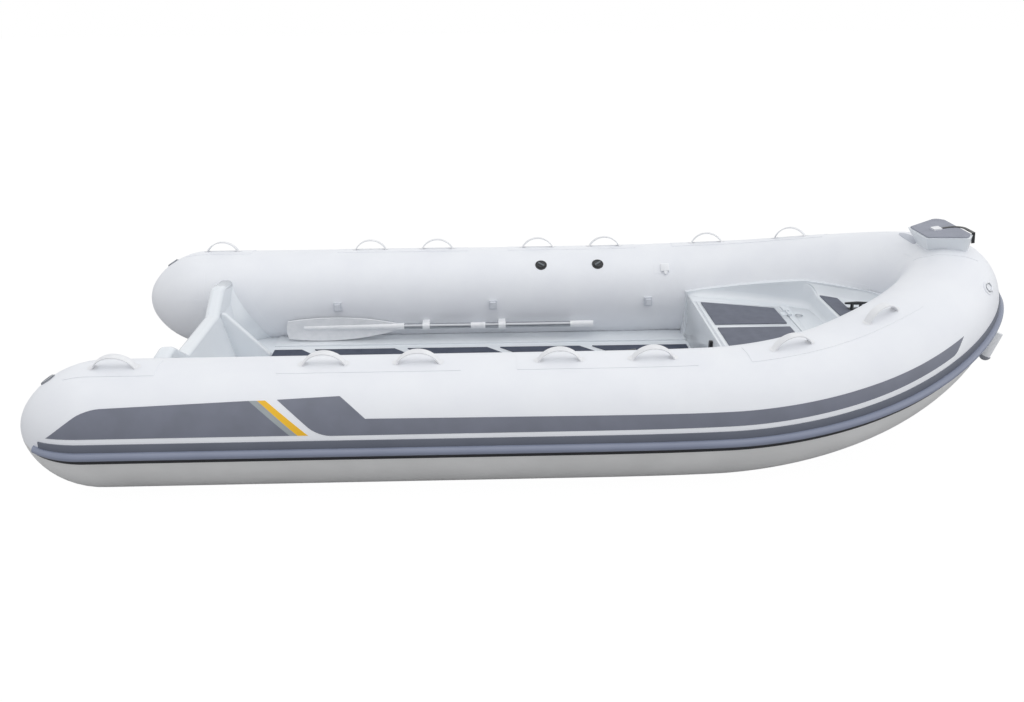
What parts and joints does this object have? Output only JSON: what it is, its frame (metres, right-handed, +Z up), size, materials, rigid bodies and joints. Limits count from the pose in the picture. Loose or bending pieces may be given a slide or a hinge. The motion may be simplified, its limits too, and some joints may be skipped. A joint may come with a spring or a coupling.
{
  "type": "rigid inflatable boat",
  "caption": "Rigid inflatable boat with a white air-filled collar round a moulded V hull, a padded deck, a hinged step locker lid, stowed oars and a nose step.",
  "frame": {"origin": "amidships on the centre plane, at the waterline", "axes": "+X forward to the bow, +Y to port, +Z up"},
  "size_m": [4.6097, 2.2024, 1.0762],
  "materials": {
    "tube": "satin coated fabric",
    "gelcoat": "glossy gelcoat",
    "grey_plastic": "moulded",
    "steel": "polished",
    "foam": "brushed foam",
    "dark_foam": "brushed foam",
    "black_plastic": "moulded",
    "webbing": "woven",
    "white_plastic": "moulded",
    "white_rubber": "moulded",
    "strake": "satin moulded",
    "aluminium": "anodised"
  },
  "bodies": {
    "boat": {"collar_bow_port": "tube", "collar_bow_starboard": "tube", "collar_nose": "tube", "collar_side_port": "tube", "collar_side_starboard": "tube", "cone_port": "tube", "cone_starboard": "tube", "hull_bottom": "gelcoat", "bow_moulding": "gelcoat", "deck_liner": "gelcoat", "transom": "gelcoat", "transom_wing_port": "gelcoat", "transom_wing_starboard": "gelcoat", "transom_knee_port": "gelcoat", "transom_knee_starboard": "gelcoat", "motor_plate_outer": "grey_plastic", "step_locker": "gelcoat", "lid_hinge_blocks": "steel", "step_latch": "black_plastic", "bow_deck": "gelcoat", "bow_pad": "foam", "bow_cleat": "black_plastic", "platform_ring": "steel", "deck_pads_port": "dark_foam", "deck_pads_starboard": "dark_foam", "nose_step": "gelcoat", "nose_pad": "foam", "nose_strap": "webbing", "nose_buckle": "white_plastic", "grab_handles_port": "white_rubber", "grab_handles_starboard": "white_rubber", "air_valves": "black_plastic", "relief_valves": "white_plastic", "seat_lugs": "white_rubber", "bow_rings": "white_rubber", "cone_rings": "white_rubber", "strake_bow": "strake", "strake_side_port": "strake", "strake_side_starboard": "strake", "oar_shafts": "aluminium", "oar_grips": "white_plastic", "oar_blades": "white_plastic", "oar_clips": "white_rubber", "drain_plug": "black_plastic", "stern_eyes": "steel", "stem_post": "gelcoat"},
    "lid": {"step_lid": "gelcoat", "lid_pad_port": "foam", "lid_pad_starboard": "foam", "lid_hinge_leaves": "steel"}
  },
  "joints": [
    {"name": "step_lid_hinge", "type": "hinge", "parent": "boat", "child": "lid", "pos_m": [1.292, 0, 0.3655], "axis": [0, 1, 0], "range_deg": [0, 95]}
  ]
}
